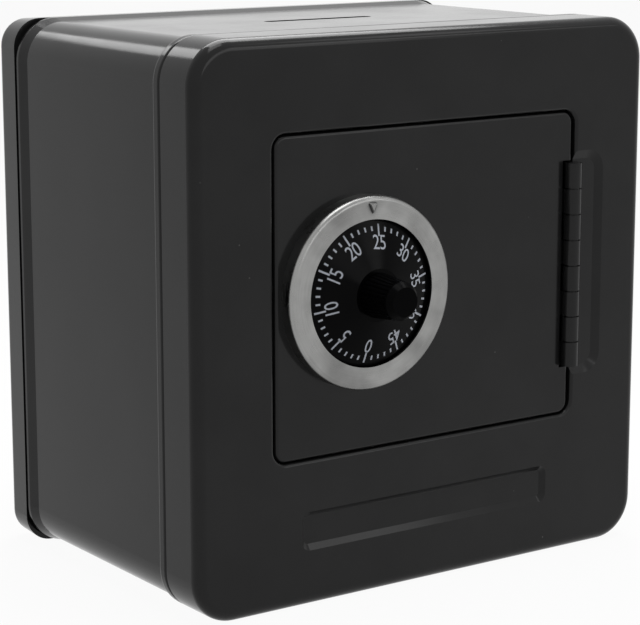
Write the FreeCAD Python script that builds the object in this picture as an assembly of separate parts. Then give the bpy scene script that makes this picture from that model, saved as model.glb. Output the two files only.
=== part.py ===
import FreeCAD, Part
import math
import os

V = FreeCAD.Vector

# Case, millimetres: outline of the front cover, seen from the front
case_width = 119.2
case_height = 120.0
case_depth = 82.4
corner_radius = 9.5
sheet = 0.5
slip_fit = 0.2

# Front cover: skirt, opening with its rolled lip, sunk plaque field
cover_depth = 12.0
cover_edge_radius = 2.4
opening_width = 80.4
opening_height = 68.6
opening_shift = -0.4
opening_rise = 31.7
opening_corner = 3.2
lip_radius = 0.8
lip_depth = 4.0
plaque_width = 66.6
plaque_height = 8.4
plaque_rise = 12.2
plaque_corner = 2.0
plaque_depth = 1.0
plaque_slope = 1.2

# Body wrap: front rib, rear band, coin slot
wrap_tuck = 9.2
rib_width = 2.7
rib_slope = 0.7
band_width = 0.8
band_slope = 2.9
band_setback = 9.8
bend_radius = 0.4
slot_length = 28.5
slot_width = 2.7
slot_set_back = 42.0

# Rear cover: cap outside the wrap, plug inside it
cap_depth = 8.6
cap_corner = 6.5
cap_front_inset = 0.1
cap_rear_inset = 0.6
plug_depth = 13.5
cap_edge_radius = 2.4

# Door pan
door_gap = 0.6
door_gap_above = 0.3
door_gap_below = 0.2
door_return = 5.0
door_edge_radius = 0.8

# Hinge: knuckles curled from the sheet, alternating between cover and door
knuckle_radius = 1.95
knuckle_count = 8
knuckle_gap = 0.3
knuckle_wrap = 305.0
hinge_length = 46.0
hinge_rise = 11.1
hinge_inset = 1.0
hinge_clearance = 0.3
pin_fit = 0.05
pad_depth = 0.9
pad_slope = 1.9
pad_reach = 8.3
pad_margin = 2.3
pad_corner = 4.5
leaf_width = 6.0

# Dial ring and its tabs
dial_offset = 22.6
ring_radius = 20.5
ring_height = 3.5
ring_hole = 15.6
ring_rounding = 1.1
tab_count = 4
tab_width = 5.0
tab_fold = 3.0
tab_clearance = 0.2
index_width = 2.5
index_length = 2.7
index_height = 0.5
index_margin = 1.3

# Dial and knob
dial_rim = 17.2
dial_angle = 17.5
dial_thickness = 1.0
dial_clearance = 0.45
dial_top_radius = 5.6
knob_base_radius = 4.75
knob_front_radius = 4.05
knob_face_radius = 3.1
knob_length = 9.1
knob_bevel = 1.25
knob_rim = 0.4
knob_roof = 2.0
flute_count = 30
flute_radius = 0.38
flute_depth = 0.22

# Spindle, bush and what holds them in the door
spindle_radius = 2.5
spindle_fit = 0.05
fixed_fit = 0.01
bush_radius = 4.5
bush_flange_radius = 7.0
bush_flange = 1.0
spring_height = 0.5
spring_sheet = 0.3
lock_plate_size = 40.0
lock_plate_corner = 4.0
lock_plate_thickness = 0.8
nut_across_flats = 13.0
nut_height = 2.0

# Lock discs, their gates and pick-up pins
disc_radius = 19.0
disc_thickness = 1.2
disc_play = 0.1
spacer_radius = 6.0
spacer_thickness = 0.8
retainer_thickness = 0.8
retainer_groove = 0.4
retainer_mouth = 3.0
bush_end = 0.2
drive_play = 0.3
gate_side = 1.1
gate_swing = 1.75
pickup_circle = 12.0
pickup_radius = 1.0
pickup_gap = 0.3
pickup_share = 0.7
drive_end_radius = 2.0
drive_flat = 1.4
screw_radius = 1.25
screw_length = 6.0
screw_head_radius = 3.0
screw_head_height = 1.8
screw_bevel = 0.6
screw_washer_radius = 4.0
screw_washer_thickness = 0.6

# Strike on the case
strike_sheet = 1.0
strike_overlap = 2.45
strike_foot = 10.0
strike_foot_height = 18.0
tongue_height = 10.0
strike_clearance = 1.2
door_clearance = 0.5
lock_play = 0.5

# Places worked out from the sizes: the floor is z = 0, the origin under the middle of case and knob
dial_rise = math.tan(math.radians(dial_angle))
dial_edge = ring_height - sheet - dial_clearance
dial_top = dial_edge + (ring_hole - dial_top_radius) * dial_rise
knob_reach = dial_top + knob_length - pad_depth + sheet
front_y = (knob_reach - case_depth) / 2
rear_y = front_y + case_depth
rim_y = front_y + cover_depth
lip_end_y = front_y + lip_depth
wrap_inset = sheet + slip_fit
plug_inset = wrap_inset + sheet + slip_fit
open_x0 = opening_shift - opening_width / 2
open_x1 = opening_shift + opening_width / 2
open_z0 = opening_rise
open_z1 = opening_rise + opening_height
door_face_y = front_y + pad_depth - sheet
door_back_y = door_face_y + sheet
door_end_y = door_face_y + door_return
hinge_x = open_x1 - hinge_inset
hinge_y = front_y + pad_depth + sheet - knuckle_radius
hinge_z0 = open_z0 + hinge_rise
hinge_z1 = hinge_z0 + hinge_length
hinge_pitch = hinge_length / knuckle_count
leaf_x1 = hinge_x - knuckle_radius - hinge_clearance
dial_x = open_x0 + dial_offset
dial_z = (open_z0 + open_z1) / 2
plate_back_y = door_back_y + lock_plate_thickness
nut_back_y = plate_back_y + nut_height
tongue_y = door_end_y + door_clearance
disc_a_y = tongue_y + strike_sheet + lock_play
spacer_y = disc_a_y + disc_thickness + disc_play
disc_b_y = spacer_y + spacer_thickness + disc_play
retainer_y = disc_b_y + disc_thickness + disc_play
bush_end_y = retainer_y + retainer_thickness + bush_end
drive_y = bush_end_y + drive_play
drive_end_y = drive_y + disc_thickness
screw_head_y = drive_end_y + screw_washer_thickness
strike_tip_x = dial_x - disc_radius + strike_overlap


# Drawing helpers
def rounded_outline(x0, x1, z0, z1, radius, y):
    """Rounded rectangle in the plane y, starting at the middle of its lower side."""
    start = V((x0 + x1) / 2, y, z0)
    corners = [(x1 - radius, z0 + radius, -90), (x1 - radius, z1 - radius, 0)]
    corners += [(x0 + radius, z1 - radius, 90), (x0 + radius, z0 + radius, 180)]
    edges = []
    last = start
    for cx, cz, first_angle in corners:
        arc = []
        for angle in (first_angle, first_angle + 45, first_angle + 90):
            turn = math.radians(angle)
            arc.append(V(cx + radius * math.cos(turn), y, cz + radius * math.sin(turn)))
        edges.append(Part.makeLine(last, arc[0]))
        edges.append(Part.Arc(*arc).toShape())
        last = arc[2]
    edges.append(Part.makeLine(last, start))
    return Part.Wire(edges)


def case_outline(inset, y):
    """Outline of the case, moved inwards by inset."""
    half = case_width / 2 - inset
    return rounded_outline(-half, half, inset, case_height - inset, corner_radius - inset, y)


def opening_outline(grow, y):
    """Outline of the door opening, moved outwards by grow."""
    corner = opening_corner + grow
    return rounded_outline(open_x0 - grow, open_x1 + grow, open_z0 - grow, open_z1 + grow, corner, y)


def block(outline, y_end):
    """Solid from a flat outline to the plane y_end."""
    length = y_end - outline.BoundBox.YMin
    return Part.Face(outline).extrude(V(0, length, 0)).removeSplitter()


def edges_at(solid, y, reach=None):
    """Edges in the plane y, or those of them that lie inside the box reach."""
    found = []
    for edge in solid.Edges:
        points = edge.discretize(3)
        flat = all(abs(point.y - y) < sheet / 10 for point in points)
        if flat and (reach is None or all(reach.isInside(point) for point in points)):
            found.append(edge)
    return found


def opening_reach(grow):
    """Box that just holds the outline of the opening grown by grow."""
    box = opening_outline(grow, front_y + grow).BoundBox
    box.enlarge(sheet)
    return box


def rounded_edges(points, radii, place):
    """Edges along flat points whose corners are arcs of the given radii."""
    edges = []
    last = points[0]
    for before, corner, after, radius in zip(points, points[1:], points[2:], radii):
        into = (corner - before).normalize()
        out = (after - corner).normalize()
        half_turn = into.getAngle(out) / 2
        reach = radius * math.tan(half_turn)
        start = corner - into * reach
        end = corner + out * reach
        centre = corner + (out - into).normalize() * (radius / math.cos(half_turn))
        middle = centre + (corner - centre).normalize() * radius
        edges.append(Part.makeLine(place(last), place(start)))
        edges.append(Part.Arc(place(start), place(middle), place(end)).toShape())
        last = end
    edges.append(Part.makeLine(place(last), place(points[-1])))
    return edges


def bent_strip(pairs, bend, thickness, place):
    """Face of a sheet bent along flat points; its thickness lies to their left."""
    points = [V(a, b, 0) for a, b in pairs]
    ways = [(b - a).normalize() for a, b in zip(points, points[1:])]
    lefts = [V(-way.y, way.x, 0) for way in ways]
    far = [points[0] + lefts[0] * thickness]
    near_radii = []
    far_radii = []
    for corner, first, second in zip(points[1:], lefts, lefts[1:]):
        middle = (first + second).normalize()
        far.append(corner + middle * (thickness / middle.dot(first)))
        turns_left = first.cross(second).z > 0
        near_radii.append(bend + thickness if turns_left else bend)
        far_radii.append(bend if turns_left else bend + thickness)
    far.append(points[-1] + lefts[-1] * thickness)
    edges = rounded_edges(points, near_radii, place)
    edges.append(Part.makeLine(place(points[-1]), place(far[-1])))
    edges += rounded_edges(far[::-1], far_radii[::-1], place)
    edges.append(Part.makeLine(place(far[0]), place(points[0])))
    return Part.Face(Part.Wire(edges))


def turned(pairs):
    """Solid of revolution about the dial axis from (radius, y) points."""
    points = [V(dial_x + radius, y, dial_z) for radius, y in pairs]
    face = Part.Face(Part.makePolygon(points + points[:1]))
    return face.revolve(V(dial_x, 0, dial_z), V(0, 1, 0), 360)


def ring(inner, outer, y0, y1):
    """Plain ring on the dial axis."""
    return turned([(inner, y0), (outer, y0), (outer, y1), (inner, y1)])


def rod(radius, y0, y1, out=0.0, angle=0.0):
    """Round bar along y, out from the dial axis at an angle in degrees."""
    turn = math.radians(angle)
    base = V(dial_x + out * math.cos(turn), y0, dial_z + out * math.sin(turn))
    return Part.makeCylinder(radius, y1 - y0, base, V(0, 1, 0))


def box_between(x0, x1, y0, y1, z0, z1):
    return Part.makeBox(x1 - x0, y1 - y0, z1 - z0, V(x0, y0, z0))


# Case
def sinking(x0, x1, z0, z1, corner, slope, depth, behind):
    """Sunk field of the front face, or with behind set, the back of its sheet."""
    spread = behind * math.tan(math.atan2(depth, slope) / 2)
    mouth_y = front_y + behind
    mouth = rounded_outline(x0 - spread, x1 + spread, z0 - spread, z1 + spread, corner + spread, mouth_y)
    inner = slope - spread
    floor = rounded_outline(x0 + inner, x1 - inner, z0 + inner, z1 - inner, corner - inner, mouth_y + depth)
    return Part.makeLoft([mouth, floor], True, True)


def sinkings(behind):
    """Plaque field below the door and hinge pad beside it."""
    half = plaque_width / 2
    plaque_x = (opening_shift - half, opening_shift + half)
    plaque_z = (plaque_rise, plaque_rise + plaque_height)
    plaque = sinking(*plaque_x, *plaque_z, plaque_corner, plaque_slope, plaque_depth, behind)
    pad_x = (open_x1 - pad_reach, open_x1 + pad_reach)
    pad_z = (hinge_z0 - pad_margin, hinge_z1 + pad_margin)
    pad = sinking(*pad_x, *pad_z, pad_corner, pad_slope, pad_depth, behind)
    return [plaque, pad]


def cover_side(behind):
    """Solid bounded by the outer side of the cover's sheet, or by its back."""
    face_y = front_y + behind
    solid = block(case_outline(behind, face_y), rim_y + behind)
    solid = solid.makeFillet(cover_edge_radius - behind, edges_at(solid, face_y))
    hole_end_y = lip_end_y if behind else rim_y
    solid = solid.cut(block(opening_outline(behind, front_y), hole_end_y))
    solid = solid.makeFillet(lip_radius - behind, edges_at(solid, face_y, opening_reach(behind)))
    return solid.cut(sinkings(behind))


def knuckle_span(index):
    """Lower and upper end of a knuckle's share of the hinge, counted from the top."""
    top = hinge_z1 - index * hinge_pitch
    return top - hinge_pitch, top


def knuckle(index, side, strap):
    """Sheet curled round the pin, with a strap that leaves it to the right (1) or left (-1)."""
    def at(radius, share):
        turn = math.radians(90 + side * knuckle_wrap * share)
        return V(hinge_x + radius * math.cos(turn), hinge_y + radius * math.sin(turn), low)

    low, high = knuckle_span(index)
    low += knuckle_gap / 2
    outer = knuckle_radius
    inner = knuckle_radius - sheet
    far = V(side * strap, 0, 0)
    edges = [
        Part.makeLine(at(outer, 0) + far, at(outer, 0)),
        Part.Arc(at(outer, 0), at(outer, 0.5), at(outer, 1)).toShape(),
        Part.makeLine(at(outer, 1), at(inner, 1)),
        Part.Arc(at(inner, 1), at(inner, 0.5), at(inner, 0)).toShape(),
        Part.makeLine(at(inner, 0), at(inner, 0) + far),
        Part.makeLine(at(inner, 0) + far, at(outer, 0) + far),
    ]
    return Part.Face(Part.Wire(edges)).extrude(V(0, 0, high - knuckle_gap / 2 - low))


def front_cover():
    cover = cover_side(0).cut(cover_side(sheet))
    strap = hinge_inset + lip_radius
    room = knuckle_radius + hinge_clearance
    for index in range(1, knuckle_count, 2):
        low, high = knuckle_span(index)
        base = V(hinge_x, hinge_y, low - knuckle_gap / 2)
        cover = cover.cut(Part.makeCylinder(room, high - low + knuckle_gap, base))
    for index in range(0, knuckle_count, 2):
        cover = cover.fuse(knuckle(index, 1, strap))
    return cover.removeSplitter()


def body_wrap():
    """Tube swept from the bent edge of its sheet, with the slot cut in its top."""
    rim = rear_y - band_setback
    band = rim - band_width
    rib = rim_y + rib_width
    pairs = [
        (wrap_inset, rim_y - wrap_tuck),
        (wrap_inset, rim_y),
        (0, rim_y + rib_slope),
        (0, rib),
        (wrap_inset, rib + rib_slope),
        (wrap_inset, band - band_slope),
        (0, band),
        (0, rim),
    ]
    edge = bent_strip(pairs[::-1], bend_radius, sheet, lambda p: V(0, p.y, p.x))
    path = case_outline(0, 0)
    tube = path.makePipeShell([edge.OuterWire], True, False)
    half = slot_length / 2 - slot_width / 2
    slot_y = front_y + slot_set_back
    top = case_height - wrap_inset - 2 * sheet
    cut = box_between(-half, half, slot_y - slot_width / 2, slot_y + slot_width / 2, top, case_height)
    for end in (-half, half):
        cut = cut.fuse(Part.makeCylinder(slot_width / 2, case_height - top, V(end, slot_y, top)))
    return tube.cut(cut)


def cap_outline(inset, y):
    """Outline of the rear cover's cap, whose corners are tighter than the case's."""
    half = case_width / 2 - inset
    return rounded_outline(-half, half, inset, case_height - inset, cap_corner - inset, y)


def rear_side(behind):
    """Solid bounded by the outer side of the rear cover's sheet, or by its inside."""
    step_y = rear_y - cap_depth + behind
    end_y = rear_y - behind
    cap_ends = [cap_outline(cap_front_inset + behind, step_y), cap_outline(cap_rear_inset + behind, end_y)]
    cap = Part.makeLoft(cap_ends, True, True)
    cap = cap.makeFillet(cap_edge_radius - behind, edges_at(cap, end_y))
    plug = block(case_outline(plug_inset + behind, step_y - plug_depth - 2 * behind), step_y)
    return cap.fuse(plug).removeSplitter()


def rear_cover():
    return rear_side(0).cut(rear_side(sheet))


def hinge_pin():
    radius = knuckle_radius - sheet - pin_fit
    return Part.makeCylinder(radius, hinge_length, V(hinge_x, hinge_y, hinge_z0))


def strike():
    """Foot on the back of the cover, riser, and tongue behind the door's edge."""
    riser_x = open_x0 - sheet - strike_clearance
    foot_y = front_y + sheet
    pairs = [(riser_x - strike_foot, foot_y), (riser_x, foot_y), (riser_x, tongue_y), (strike_tip_x, tongue_y)]
    base_z = dial_z - strike_foot_height / 2
    strip = bent_strip(pairs, bend_radius, strike_sheet, lambda p: V(p.x, p.y, base_z))
    solid = strip.extrude(V(0, 0, strike_foot_height))
    for side in (-1, 1):
        edge = dial_z + side * tongue_height / 2
        end = dial_z + side * strike_foot_height
        low, high = sorted((edge, end))
        ends_y = (tongue_y - door_clearance, tongue_y + 2 * strike_sheet)
        solid = solid.cut(box_between(riser_x, strike_tip_x + strike_overlap, *ends_y, low, high))
    return solid


# Door
def door_outline(inset, y):
    """Outline of the door pan, inside the opening by the door's gaps and inset."""
    sides = (open_x0 + door_gap + inset, open_x1 - door_gap - inset)
    ends = (open_z0 + door_gap_below + inset, open_z1 - door_gap_above - inset)
    return rounded_outline(*sides, *ends, opening_corner - door_gap - inset, y)


def tab_sectors(inner, outer, half, y0, y1):
    """Pieces of a ring at the places of the ring's tabs."""
    whole = ring(inner, outer, y0, y1)
    sectors = []
    for index in range(tab_count):
        zone = box_between(dial_x, dial_x + 2 * outer, y0, y1, dial_z - half, dial_z + half)
        turn = 360 / tab_count * (index + 0.5)
        sectors.append(whole.common(zone.rotate(V(dial_x, 0, dial_z), V(0, 1, 0), turn)))
    return sectors


def tab_slots():
    """Slots for the tabs through the door face and the lock plate."""
    inner = ring_radius - sheet - tab_clearance
    return tab_sectors(inner, ring_radius + fixed_fit, tab_width / 2 + tab_clearance, door_face_y, plate_back_y)


def door_panel():
    outer = block(door_outline(0, door_face_y), door_end_y)
    outer = outer.makeFillet(door_edge_radius, edges_at(outer, door_face_y))
    inner = block(door_outline(sheet, door_back_y), door_end_y + sheet)
    inner = inner.makeFillet(door_edge_radius - sheet, edges_at(inner, door_back_y))
    pan = outer.cut(inner)
    hinge_room = box_between(
        leaf_x1, open_x1, door_face_y - sheet, door_end_y + sheet,
        hinge_z0 - hinge_clearance, hinge_z1 + hinge_clearance)
    bush_hole = rod(bush_radius + fixed_fit, door_face_y - sheet, door_back_y + sheet)
    return pan.cut([hinge_room, bush_hole] + tab_slots())


def hinge_leaf():
    """Strip behind the door face with every second knuckle curled from its edge."""
    leaf = box_between(
        leaf_x1 - leaf_width, leaf_x1, door_back_y, door_back_y + sheet,
        hinge_z0 + knuckle_gap, hinge_z1 - knuckle_gap)
    for index in range(1, knuckle_count, 2):
        leaf = leaf.fuse(knuckle(index, -1, hinge_x - leaf_x1))
    return leaf.removeSplitter()


def index_mark(top_y):
    """Raised arrow on the ring, pointing at the dial."""
    base_z = dial_z + ring_radius - index_margin
    half = index_width / 2
    base = [V(-half, 0, base_z), V(half, 0, base_z), V(0, 0, base_z - index_length)]
    wires = []
    for share, y in ((1.0, top_y + sheet / 2), (0.5, top_y - index_height)):
        middle = V(0, 0, base_z - index_length / 3)
        points = [V(dial_x, y, 0) + middle + (p - middle) * share for p in base]
        wires.append(Part.makePolygon(points + points[:1]))
    return Part.makeLoft(wires, True, True)


def dial_ring():
    """Drawn cup with a rounded rim and a wide hole, a raised index and folded tabs."""
    top_y = door_face_y - ring_height
    inside_y = top_y + sheet
    cup = rod(ring_radius, top_y, door_face_y)
    cup = cup.makeFillet(ring_rounding, edges_at(cup, top_y))
    room = rod(ring_radius - sheet, inside_y, door_face_y)
    room = room.makeChamfer(ring_rounding - sheet, edges_at(room, inside_y))
    solid = cup.cut([room, rod(ring_hole, top_y, door_face_y)])
    solid = solid.fuse(index_mark(top_y))
    half = tab_width / 2
    inner = ring_radius - sheet
    tabs = tab_sectors(inner, ring_radius, half, door_face_y, plate_back_y)
    tabs += tab_sectors(inner, ring_radius + tab_fold, half, plate_back_y, plate_back_y + sheet)
    return solid.fuse(tabs).removeSplitter()


def lock_plate():
    half = lock_plate_size / 2
    outline = rounded_outline(
        dial_x - half, dial_x + half, dial_z - half, dial_z + half, lock_plate_corner, door_back_y)
    bush_hole = rod(bush_radius + fixed_fit, door_back_y - sheet, plate_back_y + sheet)
    return block(outline, plate_back_y).cut([bush_hole] + tab_slots())


def spindle_bush():
    bore = spindle_radius + spindle_fit
    groove = bush_radius - retainer_groove
    groove_end_y = retainer_y + retainer_thickness
    return turned([
        (bore, door_face_y - bush_flange),
        (bush_flange_radius, door_face_y - bush_flange),
        (bush_flange_radius, door_face_y),
        (bush_radius, door_face_y),
        (bush_radius, retainer_y),
        (groove, retainer_y),
        (groove, groove_end_y),
        (bush_radius, groove_end_y),
        (bush_radius, bush_end_y),
        (bore, bush_end_y),
    ])


def bush_nut():
    corner = nut_across_flats / math.sqrt(3)
    points = []
    for index in range(7):
        turn = math.radians(60 * index)
        points.append(V(dial_x + corner * math.cos(turn), plate_back_y, dial_z + corner * math.sin(turn)))
    nut = Part.Face(Part.makePolygon(points)).extrude(V(0, nut_height, 0))
    return nut.cut(rod(bush_radius + fixed_fit, plate_back_y, nut_back_y))


def spacer_sleeve():
    return ring(bush_radius + fixed_fit, spacer_radius, nut_back_y, disc_a_y - disc_play)


def spacer_washer():
    return ring(bush_radius + fixed_fit, spacer_radius, spacer_y, spacer_y + spacer_thickness)


def retaining_ring():
    inner = bush_radius - retainer_groove + fixed_fit
    solid = ring(inner, spacer_radius, retainer_y, retainer_y + retainer_thickness)
    half = retainer_mouth / 2
    mouth = box_between(
        dial_x - half, dial_x + half, retainer_y, retainer_y + retainer_thickness,
        dial_z - spacer_radius, dial_z)
    return solid.cut(mouth)


def spring_washer():
    """Cone of spring sheet between the bush flange and the dial's hub."""
    base_y = door_face_y - bush_flange
    top_y = base_y - spring_height + disc_play
    inner = spindle_radius + spindle_fit
    outer = dial_top_radius
    return turned([(outer, base_y), (outer, base_y - spring_sheet), (inner, top_y), (inner, top_y + spring_sheet)])


# Dial
def dial_plate():
    bore = spindle_radius + fixed_fit
    hub_y = door_face_y - bush_flange - spring_height
    top_y = door_face_y - dial_top
    rim_top_y = top_y + (dial_rim - dial_top_radius) * dial_rise
    return turned([
        (bore, top_y),
        (dial_top_radius, top_y),
        (dial_rim, rim_top_y),
        (dial_rim, rim_top_y + dial_thickness),
        (dial_top_radius, top_y + dial_thickness),
        (dial_top_radius, hub_y),
        (bore, hub_y),
    ])


def knob():
    """Tapered knob with flutes that follow the taper and a bevelled front rim."""
    base_y = door_face_y - dial_top
    front = base_y - knob_length
    solid = turned([
        (0, base_y),
        (knob_base_radius, base_y),
        (knob_front_radius, front + knob_bevel),
        (knob_face_radius, front),
        (0, front),
    ])
    taper = knob_base_radius - knob_front_radius
    length = knob_length - knob_bevel - knob_rim
    centre = flute_radius - flute_depth
    for index in range(flute_count):
        turn = math.radians(360 / flute_count * index)
        out = V(math.cos(turn), 0, math.sin(turn))
        start = V(dial_x, base_y, dial_z) + out * (knob_base_radius + centre)
        flute = Part.makeCylinder(flute_radius, length, start, V(0, -knob_length, 0) - out * taper)
        solid = solid.cut(flute)
    return solid.cut(rod(spindle_radius + fixed_fit, front + knob_roof, base_y))


def spindle():
    """Bar from the knob to the drive disc, flatted and bored at its inner end."""
    knob_front = door_face_y - dial_top - knob_length
    solid = rod(spindle_radius, knob_front + knob_roof, drive_y)
    solid = solid.fuse(flatted_end(0))
    return solid.cut(rod(screw_radius + fixed_fit, screw_head_y - screw_length, screw_head_y))


def flatted_end(clearance):
    """D-shaped end of the spindle, or the hole that fits it."""
    radius = drive_end_radius + clearance
    end = rod(radius, drive_y, drive_end_y)
    flat = box_between(
        dial_x + drive_flat + clearance, dial_x + 2 * radius, drive_y, drive_end_y,
        dial_z - radius, dial_z + radius)
    return end.cut(flat)


def gated_disc(y):
    """Disc with the gate that lets the strike's tongue out."""
    floor = disc_radius - strike_overlap - gate_swing
    half = tongue_height / 2 + gate_side
    gate = box_between(dial_x - 2 * disc_radius, dial_x - floor, y, y + disc_thickness, dial_z - half, dial_z + half)
    return rod(disc_radius, y, y + disc_thickness).cut(gate)


def pickup(y0, y1, side):
    """Pick-up pin between two discs; the pins of neighbours lie side by side."""
    spacing = 2 * pickup_radius + pickup_gap
    angle = 90 + side * math.degrees(math.asin(spacing / 2 / pickup_circle))
    return rod(pickup_radius, y0, y1, pickup_circle, angle)


def front_pickup(y, gap):
    return pickup(y - gap * pickup_share, y, -1)


def rear_pickup(y, gap):
    return pickup(y + disc_thickness, y + disc_thickness + gap * pickup_share, 1)


gap_ab = disc_b_y - disc_a_y - disc_thickness
gap_b_drive = drive_y - disc_b_y - disc_thickness


def drive_disc():
    return gated_disc(drive_y).fuse(front_pickup(drive_y, gap_b_drive)).cut(flatted_end(fixed_fit))


def bush_hole(y):
    return rod(bush_radius + spindle_fit, y, y + disc_thickness)


def lock_disc_a():
    return gated_disc(disc_a_y).fuse(rear_pickup(disc_a_y, gap_ab)).cut(bush_hole(disc_a_y))


def lock_disc_b():
    pins = [front_pickup(disc_b_y, gap_ab), rear_pickup(disc_b_y, gap_b_drive)]
    return gated_disc(disc_b_y).fuse(pins).cut(bush_hole(disc_b_y))


def screw_washer():
    return ring(screw_radius + fixed_fit, screw_washer_radius, drive_end_y, screw_head_y)


def drive_screw():
    head_end_y = screw_head_y + screw_head_height
    return turned([
        (0, screw_head_y - screw_length),
        (screw_radius, screw_head_y - screw_length),
        (screw_radius, screw_head_y),
        (screw_head_radius, screw_head_y),
        (screw_head_radius, head_end_y - screw_bevel),
        (screw_head_radius - screw_bevel, head_end_y),
        (0, head_end_y),
    ])


nodes = [
    body_wrap, front_cover, rear_cover, hinge_pin, strike,
    door_panel, hinge_leaf, dial_ring, lock_plate, spindle_bush, bush_nut,
    spacer_sleeve, spacer_washer, retaining_ring, spring_washer,
    dial_plate, knob, spindle, drive_disc, screw_washer, drive_screw,
    lock_disc_a, lock_disc_b,
]

os.makedirs("parts", exist_ok=True)
for node in nodes:
    shape = node()
    solids = shape.Solids
    print(node.__name__, "solids", len(solids), "valid", shape.isValid(), "volume", round(shape.Volume, 1))
    shape.exportStep("parts/" + node.__name__ + ".step")
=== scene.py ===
import math

import bpy
from mathutils import Matrix, Vector

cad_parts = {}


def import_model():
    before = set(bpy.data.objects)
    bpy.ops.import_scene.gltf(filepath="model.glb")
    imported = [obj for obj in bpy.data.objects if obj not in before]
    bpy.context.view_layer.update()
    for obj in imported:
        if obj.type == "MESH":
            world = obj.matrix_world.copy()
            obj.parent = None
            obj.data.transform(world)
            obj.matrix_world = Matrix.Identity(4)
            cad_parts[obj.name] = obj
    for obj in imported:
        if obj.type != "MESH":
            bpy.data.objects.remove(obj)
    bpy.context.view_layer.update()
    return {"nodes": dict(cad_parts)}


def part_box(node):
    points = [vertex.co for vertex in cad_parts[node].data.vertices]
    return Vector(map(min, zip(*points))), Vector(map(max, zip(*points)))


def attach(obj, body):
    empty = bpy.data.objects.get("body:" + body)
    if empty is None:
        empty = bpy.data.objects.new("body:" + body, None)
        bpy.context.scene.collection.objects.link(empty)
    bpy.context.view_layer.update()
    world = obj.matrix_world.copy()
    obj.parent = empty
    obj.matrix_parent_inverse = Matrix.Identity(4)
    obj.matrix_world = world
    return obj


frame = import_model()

MM = 0.001
nodes = frame["nodes"]

# Places read from the CAD frame
plate_lo, plate_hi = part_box("dial_plate")
dial_x = (plate_lo.x + plate_hi.x) / 2
dial_z = (plate_lo.z + plate_hi.z) / 2
HALF_DEPTH = 41.2 * MM
case_middle_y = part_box("rear_cover")[1].y - HALF_DEPTH


# Material helpers
def new_material(name):
    material = bpy.data.materials.new(name)
    material.use_nodes = True
    tree = material.node_tree
    return material, tree, tree.nodes["Principled BSDF"]


def add(tree, kind, **values):
    node = tree.nodes.new(kind)
    for key, value in values.items():
        if key in node.inputs:
            node.inputs[key].default_value = value
        else:
            setattr(node, key, value)
    return node


def link(tree, source, target):
    tree.links.new(source, target)


def object_coords(tree, offset=(0, 0, 0), scale=(1, 1, 1)):
    coords = add(tree, "ShaderNodeTexCoord")
    mapping = add(tree, "ShaderNodeMapping")
    mapping.inputs["Location"].default_value = offset
    mapping.inputs["Scale"].default_value = scale
    link(tree, coords.outputs["Object"], mapping.inputs["Vector"])
    return mapping.outputs["Vector"]


def noise(tree, vector, scale, detail=2.0, roughness=0.5):
    node = add(tree, "ShaderNodeTexNoise", Scale=scale, Detail=detail, Roughness=roughness)
    link(tree, vector, node.inputs["Vector"])
    return node.outputs["Fac"]


def math_node(tree, operation, a, b=None):
    node = add(tree, "ShaderNodeMath", operation=operation)
    for socket, value in zip(node.inputs, (a, b)):
        if value is None:
            continue
        if isinstance(value, (int, float)):
            socket.default_value = value
        else:
            link(tree, value, socket)
    return node.outputs[0]


def spread(tree, value, low, high, from_low=0.0, from_high=1.0):
    node = add(tree, "ShaderNodeMapRange")
    node.inputs["From Min"].default_value = from_low
    node.inputs["From Max"].default_value = from_high
    node.inputs["To Min"].default_value = low
    node.inputs["To Max"].default_value = high
    link(tree, value, node.inputs["Value"])
    return node.outputs["Result"]


def mix_colour(tree, factor, first, second):
    node = add(tree, "ShaderNodeMix", data_type="RGBA")
    link(tree, factor, node.inputs[0])
    for socket, value in ((node.inputs[6], first), (node.inputs[7], second)):
        if isinstance(value, tuple):
            socket.default_value = value
        else:
            link(tree, value, socket)
    return node.outputs[2]


def bump(tree, height, shader, strength=1.0):
    node = add(tree, "ShaderNodeBump", Strength=strength, Distance=1.0)
    link(tree, height, node.inputs["Height"])
    link(tree, node.outputs["Normal"], shader.inputs["Normal"])


# Materials: heights in metres
LACQUER_SPECULAR = 0.2
PEEL_HEIGHT = 1.6e-6
WAVE_HEIGHT = 7.0e-5
TURNING_HEIGHT = 2.0e-6
STREAK_HEIGHT = 1.5e-6
DUST_EDGE = (0.012, 0.022)
DUST_COLOUR = (0.16, 0.16, 0.155, 1)
CLOUD_COLOUR = (0.12, 0.12, 0.118, 1)
# Painted shade: near-black colour laid into the ring's corners by ambient occlusion, reaching this far
PAINTED_SHADE_COLOUR = (0.02, 0.02, 0.02, 1)
PAINTED_SHADE_REACH = 1.2 * MM


def black_tin():
    """Lacquer on tinplate: orange peel, slow waves in the sheet, specks of dust."""
    material, tree, shader = new_material("black_tin")
    shader.inputs["Specular IOR Level"].default_value = LACQUER_SPECULAR
    vector = object_coords(tree)
    broad = noise(tree, vector, 60.0, 3.0)
    fine = noise(tree, vector, 900.0, 2.0)
    waves = noise(tree, vector, 38.0, 1.0)
    colour = mix_colour(tree, broad, (0.008, 0.008, 0.0082, 1), (0.021, 0.021, 0.0213, 1))
    specks = add(tree, "ShaderNodeTexVoronoi", Scale=110.0)
    link(tree, vector, specks.inputs["Vector"])
    dust = spread(tree, specks.outputs["Distance"], 1.0, 0.0, *DUST_EDGE)
    colour = mix_colour(tree, dust, colour, DUST_COLOUR)
    link(tree, colour, shader.inputs["Base Color"])
    link(tree, spread(tree, broad, 0.11, 0.17, 0.3, 0.7), shader.inputs["Roughness"])
    peel = math_node(tree, "MULTIPLY", fine, PEEL_HEIGHT)
    swell = math_node(tree, "MULTIPLY", waves, WAVE_HEIGHT)
    bump(tree, math_node(tree, "ADD", peel, swell), shader)
    return material


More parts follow.
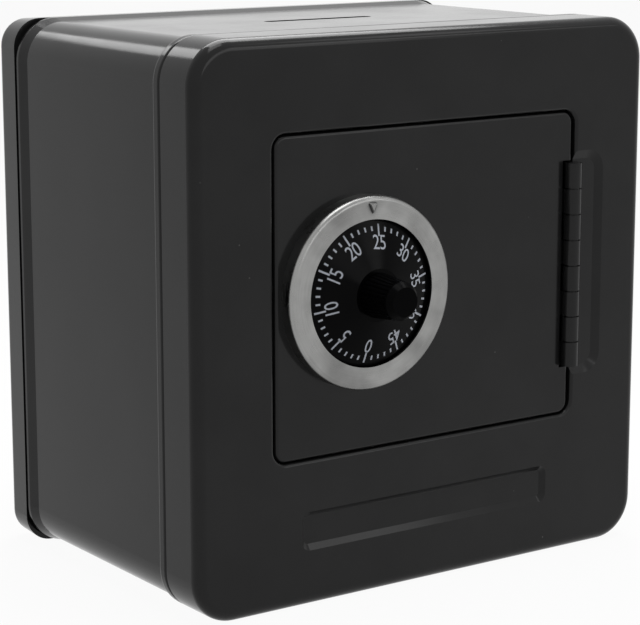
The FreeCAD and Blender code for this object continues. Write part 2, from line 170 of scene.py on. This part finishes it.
def dial_polar(tree):
    """Distance from the dial's axis and angle about it."""
    coords = add(tree, "ShaderNodeTexCoord")
    split = add(tree, "ShaderNodeSeparateXYZ")
    link(tree, coords.outputs["Object"], split.inputs[0])
    x = math_node(tree, "SUBTRACT", split.outputs["X"], dial_x)
    z = math_node(tree, "SUBTRACT", split.outputs["Z"], dial_z)
    x_square = math_node(tree, "MULTIPLY", x, x)
    z_square = math_node(tree, "MULTIPLY", z, z)
    square = math_node(tree, "ADD", x_square, z_square)
    return math_node(tree, "SQRT", square), math_node(tree, "ARCTAN2", z, x)


def ring_steel():
    """Satin steel with fine rings left by the spinning tool, and painted shade that darkens the feet of the
    index where ambient occlusion finds a corner.
    """
    material, tree, shader = new_material("ring_steel")
    shader.inputs["Metallic"].default_value = 1.0
    radius, angle = dial_polar(tree)
    join = add(tree, "ShaderNodeCombineXYZ")
    link(tree, math_node(tree, "MULTIPLY", radius, 6000.0), join.inputs[0])
    link(tree, math_node(tree, "MULTIPLY", angle, 2.2), join.inputs[1])
    turning = noise(tree, join.outputs[0], 1.0, 2.0)
    soft = noise(tree, object_coords(tree), 220.0, 3.0)
    shade = math_node(tree, "MULTIPLY", math_node(tree, "ADD", turning, soft), 0.5)
    colour = mix_colour(tree, shade, (0.2, 0.2, 0.195, 1), (0.38, 0.38, 0.375, 1))
    cloud = spread(tree, noise(tree, object_coords(tree), 90.0, 3.0), 0.0, 0.6, 0.42, 0.68)
    colour = mix_colour(tree, cloud, colour, CLOUD_COLOUR)
    # Painted shade: corners found by ambient occlusion are darkened towards near-black in the base colour
    corner = add(tree, "ShaderNodeAmbientOcclusion", samples=16, only_local=True, Distance=PAINTED_SHADE_REACH)
    painted_shade = spread(tree, corner.outputs["AO"], 0.95, 0.0, 0.78, 0.97)
    colour = mix_colour(tree, painted_shade, colour, PAINTED_SHADE_COLOUR)
    link(tree, colour, shader.inputs["Base Color"])
    link(tree, spread(tree, soft, 0.24, 0.36, 0.3, 0.7), shader.inputs["Roughness"])
    bump(tree, math_node(tree, "MULTIPLY", turning, TURNING_HEIGHT), shader)
    return material


def gloss_black(name, specular, rough_low, rough_high, grain):
    """Moulded black plastic with a faint skin."""
    material, tree, shader = new_material(name)
    shader.inputs["Specular IOR Level"].default_value = specular
    vector = object_coords(tree)
    patch = noise(tree, vector, 150.0, 3.0)
    skin = noise(tree, vector, 2500.0, 2.0)
    colour = mix_colour(tree, patch, (0.0014, 0.0014, 0.0016, 1), (0.0028, 0.0028, 0.0031, 1))
    link(tree, colour, shader.inputs["Base Color"])
    link(tree, spread(tree, patch, rough_low, rough_high, 0.3, 0.7), shader.inputs["Roughness"])
    bump(tree, math_node(tree, "MULTIPLY", skin, grain), shader)
    return material


def plain_metal(name, dark, light, rough):
    """Plated or turned metal with drawn streaks and faint blotches."""
    material, tree, shader = new_material(name)
    shader.inputs["Metallic"].default_value = 1.0
    streak = noise(tree, object_coords(tree, scale=(1, 1, 14)), 120.0, 3.0)
    blotch = noise(tree, object_coords(tree), 90.0, 4.0)
    shade = math_node(tree, "MULTIPLY", math_node(tree, "ADD", streak, blotch), 0.5)
    link(tree, mix_colour(tree, shade, dark, light), shader.inputs["Base Color"])
    link(tree, spread(tree, blotch, rough, rough + 0.12, 0.3, 0.7), shader.inputs["Roughness"])
    bump(tree, math_node(tree, "MULTIPLY", streak, STREAK_HEIGHT), shader)
    return material


def print_ink():
    """Pale ink pressed on the dial, a little uneven."""
    material, tree, shader = new_material("print_ink")
    patch = noise(tree, object_coords(tree), 1800.0, 3.0)
    colour = mix_colour(tree, patch, (0.50, 0.53, 0.60, 1), (0.66, 0.69, 0.76, 1))
    link(tree, colour, shader.inputs["Base Color"])
    link(tree, spread(tree, patch, 0.45, 0.6), shader.inputs["Roughness"])
    return material


tin = black_tin()
steel = ring_steel()
dial_black = gloss_black("dial_black", specular=0.035, rough_low=0.12, rough_high=0.18, grain=4e-7)
knob_black = gloss_black("knob_black", specular=0.02, rough_low=0.2, rough_high=0.3, grain=1.2e-6)
plated = plain_metal("plain_steel", (0.42, 0.43, 0.44, 1), (0.58, 0.59, 0.60, 1), rough=0.3)
brass = plain_metal("brass", (0.60, 0.44, 0.20, 1), (0.74, 0.57, 0.30, 1), rough=0.26)
ink = print_ink()

finish = {
    "body_wrap": tin, "front_cover": tin, "rear_cover": tin, "hinge_pin": tin,
    "door_panel": tin, "hinge_leaf": tin, "dial_ring": steel, "spindle_bush": brass,
    "dial_plate": dial_black, "knob": knob_black,
}
for name, node in nodes.items():
    node.data.materials.clear()
    node.data.materials.append(finish.get(name, plated))


# Print on the dial: ticks and numbers that lie on its cone
DIVISIONS = 50
NUMBER_STEP = 5
READING = 24.0
CONE = math.radians(17.5)
CONE_TOP_RADIUS = 5.6 * MM
PRINT_HEIGHT = 0.02 * MM
LONG_TICK = (14.6 * MM, 2.6 * MM)
SHORT_TICK = (14.1 * MM, 1.0 * MM)
TICK_WIDTH = 0.42 * MM
NUMBER_RADIUS = 10.75 * MM
NUMBER_SIZE = 4.4 * MM
NUMBER_SPACING = 0.95
NUMBER_WEIGHT = 0.01 * MM
NUMBER_SQUEEZE = 0.82


def on_cone(radius, clock):
    """Frame on the dial's face at a radius, clock degrees clockwise of the top seen from the front."""
    turn = math.radians(clock)
    out = Vector((math.sin(turn), 0, math.cos(turn)))
    front = Vector((0, -1, 0))
    normal = front * math.cos(CONE) + out * math.sin(CONE)
    up = out * math.cos(CONE) - front * math.sin(CONE)
    side = up.cross(normal)
    height = plate_lo.y + (radius - CONE_TOP_RADIUS) * math.tan(CONE)
    origin = Vector((dial_x, height, dial_z)) + out * radius + normal * PRINT_HEIGHT
    matrix = Matrix((side, up, normal)).transposed().to_4x4()
    matrix.translation = origin
    return matrix


def clock_of(value):
    return (value - READING) * 360.0 / DIVISIONS


def bar(verts, faces, matrix, width, length):
    """Flat bar whose outer end is at the frame's origin."""
    base = len(verts)
    for x, y in ((-width / 2, -length), (width / 2, -length), (width / 2, 0), (-width / 2, 0)):
        verts.append(matrix @ Vector((x, y, 0)))
    faces.append((base, base + 1, base + 2, base + 3))


def ticks():
    verts, faces = [], []
    for value in range(DIVISIONS):
        outer, length = SHORT_TICK if value % NUMBER_STEP else LONG_TICK
        bar(verts, faces, on_cone(outer, clock_of(value)), TICK_WIDTH, length)
    mesh = bpy.data.meshes.new("dial_ticks")
    mesh.from_pydata(verts, [], faces)
    mesh.materials.append(ink)
    piece = bpy.data.objects.new("dial_ticks", mesh)
    bpy.context.scene.collection.objects.link(piece)
    return piece


def number(value):
    curve = bpy.data.curves.new(f"dial_number_{value}", "FONT")
    curve.body = str(value)
    curve.align_x = "CENTER"
    curve.align_y = "CENTER"
    curve.size = NUMBER_SIZE
    curve.space_character = NUMBER_SPACING
    curve.offset = NUMBER_WEIGHT
    curve.resolution_u = 4
    curve.materials.append(ink)
    piece = bpy.data.objects.new(curve.name, curve)
    bpy.context.scene.collection.objects.link(piece)
    squeeze = Matrix.Diagonal((NUMBER_SQUEEZE, 1.0, 1.0, 1.0))
    piece.matrix_world = on_cone(NUMBER_RADIUS, clock_of(value)) @ squeeze
    return piece


printed = [ticks()] + [number(value) for value in range(0, DIVISIONS, NUMBER_STEP)]
for piece in printed:
    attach(piece, "dial")


# Floor and studio
AMBIENT = 0.05
FLOOR_HALF = 3.0
FLOOR_DROP = 0.0002
FLOOR_GREY = (0.7, 0.7, 0.7, 1)
WHITE = (1, 1, 1, 1)
WHITE_SHARE = 0.95


def seen_rays(tree):
    """1 for the rays that show the background: camera, glossy and transmission rays."""
    path = add(tree, "ShaderNodeLightPath")
    through = math_node(tree, "MAXIMUM", path.outputs["Is Glossy Ray"], path.outputs["Is Transmission Ray"])
    return math_node(tree, "MAXIMUM", path.outputs["Is Camera Ray"], through)


def floor():
    """Pale floor that looks nearly white and keeps the object's shadow."""
    mesh = bpy.data.meshes.new("floor")
    half = FLOOR_HALF
    corners = [(-half, -half, 0), (half, -half, 0), (half, half, 0), (-half, half, 0)]
    mesh.from_pydata(corners, [], [(0, 1, 2, 3)])
    piece = bpy.data.objects.new("floor", mesh)
    bpy.context.scene.collection.objects.link(piece)
    piece.location.z = -FLOOR_DROP
    material = bpy.data.materials.new("floor")
    material.use_nodes = True
    tree = material.node_tree
    tree.nodes.clear()
    out = add(tree, "ShaderNodeOutputMaterial")
    diffuse = add(tree, "ShaderNodeBsdfDiffuse", Color=FLOOR_GREY)
    white = add(tree, "ShaderNodeEmission", Color=WHITE, Strength=1.0)
    mix = add(tree, "ShaderNodeMixShader")
    link(tree, math_node(tree, "MULTIPLY", seen_rays(tree), WHITE_SHARE), mix.inputs[0])
    link(tree, diffuse.outputs[0], mix.inputs[1])
    link(tree, white.outputs[0], mix.inputs[2])
    link(tree, mix.outputs[0], out.inputs["Surface"])
    mesh.materials.append(material)


def world():
    """White to the camera and in reflections, dim as light on the object."""
    scene_world = bpy.data.worlds.new("studio")
    bpy.context.scene.world = scene_world
    scene_world.use_nodes = True
    tree = scene_world.node_tree
    tree.nodes.clear()
    out = add(tree, "ShaderNodeOutputWorld")
    soft = add(tree, "ShaderNodeBackground", Color=WHITE, Strength=AMBIENT)
    white = add(tree, "ShaderNodeBackground", Color=WHITE, Strength=1.0)
    mix = add(tree, "ShaderNodeMixShader")
    link(tree, seen_rays(tree), mix.inputs[0])
    link(tree, soft.outputs[0], mix.inputs[1])
    link(tree, white.outputs[0], mix.inputs[2])
    link(tree, mix.outputs[0], out.inputs["Surface"])


def lamp(name, place, target, size, power):
    """Area lamp, in metres and watts, aimed at a point and hidden from the camera."""
    data = bpy.data.lights.new(name, "AREA")
    data.shape = "RECTANGLE"
    data.size, data.size_y = size
    data.energy = power
    piece = bpy.data.objects.new(name, data)
    bpy.context.scene.collection.objects.link(piece)
    piece.location = place
    aim = Vector(target) - Vector(place)
    piece.rotation_euler = aim.to_track_quat("-Z", "Y").to_euler()
    piece.visible_camera = False


floor()
world()
lamp("over", (0.08, 0.1, 0.38), (0.08, 0.1, 0.0), (0.3, 0.3), 2.0)
lamp("far", (0.0, -0.3, 1.1), (0.0, 0.0, 0.05), (0.5, 0.5), 3.0)
lamp("right", (0.75, -1.0, 0.5), (0.75, -1.0, 0.0), (0.4, 0.4), 1.3)
lamp("front", (0.37, -1.01, 0.295), (0.0, 0.0, 0.066), (0.63, 0.25), 0.8)
lamp("back", (-0.14, 0.8, 0.62), (0.0, 0.0, 0.1), (0.25, 0.16), 0.55)
lamp("glint", (0.186, -0.205, 0.306), (-0.02, -0.034, 0.018), (0.08, 0.08), 0.036)


# Camera at the photograph's viewing angle
AZIMUTH = math.radians(-35.104)
ELEVATION = math.radians(11.461)
ROLL = math.radians(-0.049)
DISTANCE = 518.886 * MM
ASIDE = -0.114 * MM
RAISED = -7.187 * MM
FOCUS = 2276.32
IMAGE = (640, 625)
PRINCIPAL = (320.08, 312.26)
aim = Vector((0, case_middle_y, 60 * MM))

back = Vector((
    math.sin(AZIMUTH) * math.cos(ELEVATION),
    -math.cos(AZIMUTH) * math.cos(ELEVATION),
    math.sin(ELEVATION)))
right = Vector((math.cos(AZIMUTH), math.sin(AZIMUTH), 0))
up = back.cross(right)
data = bpy.data.cameras.new("camera")
data.sensor_width = 36.0
data.lens = FOCUS / IMAGE[0] * data.sensor_width
data.shift_x = (IMAGE[0] / 2 - PRINCIPAL[0]) / IMAGE[0]
data.shift_y = (PRINCIPAL[1] - IMAGE[1] / 2) / IMAGE[0]
data.clip_start = 0.01
camera = bpy.data.objects.new("camera", data)
bpy.context.scene.collection.objects.link(camera)
turned = Matrix((right, up, back)).transposed().to_4x4() @ Matrix.Rotation(ROLL, 4, "Z")
turned.translation = aim + right * ASIDE + up * RAISED + back * DISTANCE
camera.matrix_world = turned
bpy.context.scene.camera = camera

bpy.context.scene.view_settings.view_transform = "Standard"
